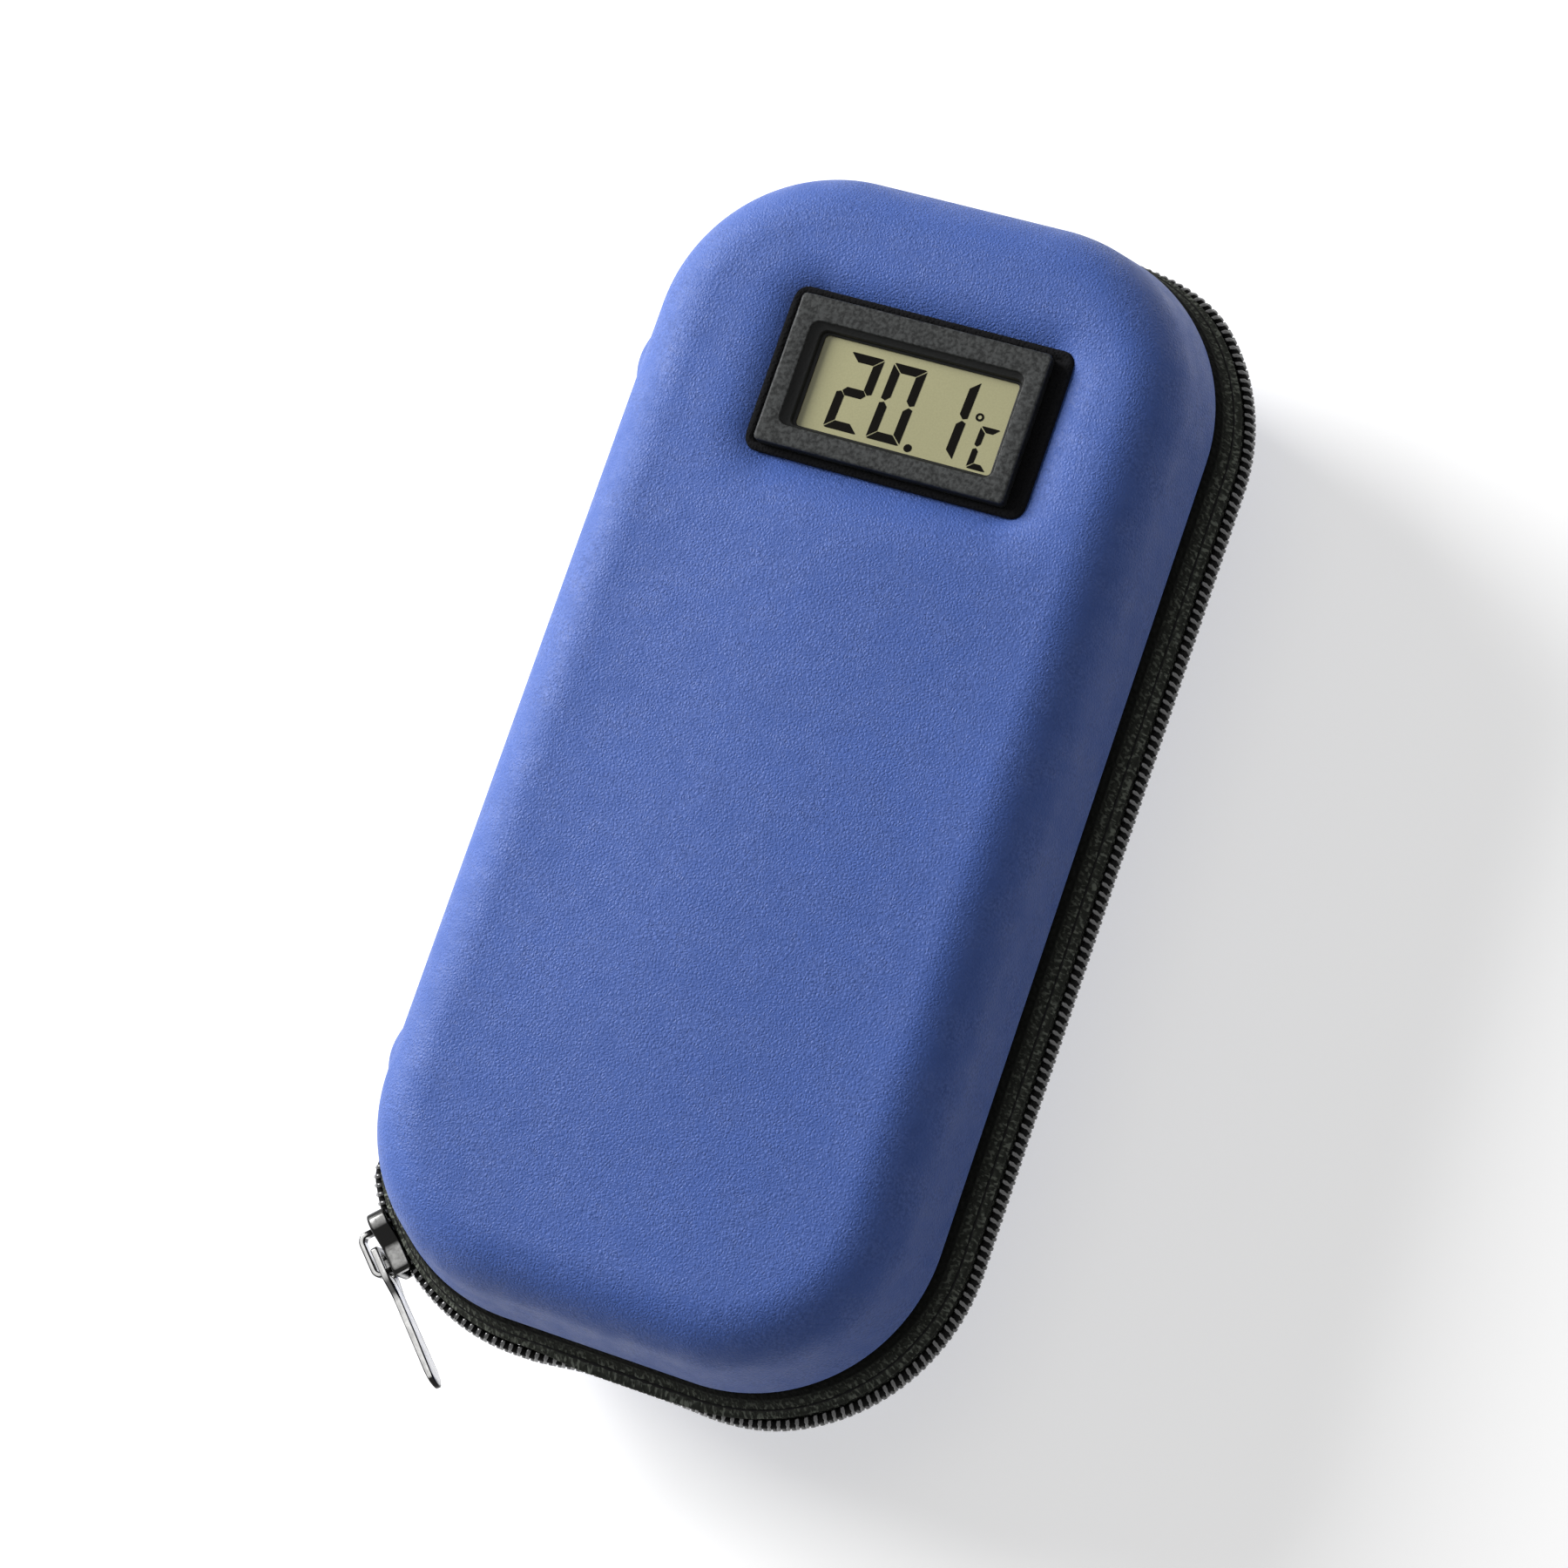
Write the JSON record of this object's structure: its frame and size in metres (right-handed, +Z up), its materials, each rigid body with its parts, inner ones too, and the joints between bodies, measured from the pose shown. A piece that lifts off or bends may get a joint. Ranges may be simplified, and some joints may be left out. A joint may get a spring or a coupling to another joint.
{
  "type": "insulin cooling case",
  "caption": "Zipped hard-shell travel case that keeps insulin pens cool, with a panel thermometer in the lid, cold packs and a foam pen tray.",
  "frame": {"origin": "centre of the flat underside of the closed case", "axes": "+Z up through the lid, +Y along the case towards the thermometer end, +X towards the zipped long side, -X towards the spine"},
  "size_m": [0.1193, 0.2404, 0.0671],
  "materials": {
    "blue_cloth": "fine-grained coated cloth on moulded foam",
    "black_tape": "woven zip tape",
    "black_coil": "nylon coil",
    "nickel": "plated die-cast metal",
    "dark_lining": "knitted lining",
    "grey_foam": "closed-cell foam",
    "black_elastic": "ribbed elastic",
    "gel_film": "film pouch full of gel",
    "bezel_plastic": "fine spark texture",
    "lcd_glass": "reflective liquid crystal panel",
    "board_green": "solder-masked glass epoxy",
    "grey_rubber": "striped silicone",
    "contact_brass": "stamped strip",
    "cell_steel": "brushed"
  },
  "bodies": {
    "base": {"lower_shell": "blue_cloth", "lower_lining": "dark_lining", "spine_fabric": "blue_cloth", "spine_lining": "dark_lining", "lower_zip_tape": "black_tape", "lower_zip_coil": "black_coil", "lower_tape_end": "black_tape", "lower_coil_end": "black_coil", "lower_end_stop": "nickel", "zip_start_stop": "nickel", "pen_tray": "grey_foam", "base_cold_pack": "gel_film", "pen_band_front": "black_elastic", "pen_band_rear": "black_elastic"},
    "lid": {"upper_shell": "blue_cloth", "upper_lining": "dark_lining", "upper_zip_tape": "black_tape", "upper_zip_coil": "black_coil", "upper_tape_end": "black_tape", "upper_coil_end": "black_coil", "upper_end_stop": "nickel", "pocket_net": "black_elastic", "pocket_binding": "black_elastic", "lid_cold_pack": "gel_film", "display_housing": "bezel_plastic", "lcd_panel": "lcd_glass", "lcd_connector": "grey_rubber", "display_board": "board_green", "display_back_cover": "bezel_plastic", "left_button_cell": "cell_steel", "right_button_cell": "cell_steel", "left_cell_contact": "contact_brass", "right_cell_contact": "contact_brass", "thermistor": "bezel_plastic"},
    "battery_door": {"battery_door": "bezel_plastic"},
    "slider": {"slider_body": "nickel", "slider_bridge": "nickel"},
    "pull": {"pull_tab": "nickel"}
  },
  "joints": [
    {"name": "lid_hinge", "type": "hinge", "parent": "base", "child": "lid", "pos_m": [-0.059, 0, 0.033], "axis": [0, -1, 0], "range_deg": [0, 175], "deforming": ["spine_fabric", "spine_lining", "upper_tape_end", "upper_coil_end"]},
    {"name": "slider_travel", "type": "hinge", "parent": "base", "child": "slider", "pos_m": [-0.0185, -0.0745, 0.033], "axis": [0, 0, 1], "range_deg": [0, 38], "deforming": ["lower_tape_end", "lower_coil_end"]},
    {"name": "pull_swing", "type": "hinge", "parent": "slider", "child": "pull", "pos_m": [-0.04958, -0.10558, 0.033], "axis": [0, 0, -1], "range_deg": [0, 110]},
    {"name": "door_slide", "type": "slide", "parent": "lid", "child": "battery_door", "axis": [1, 0, 0], "range_m": [0, 0.014]}
  ]
}
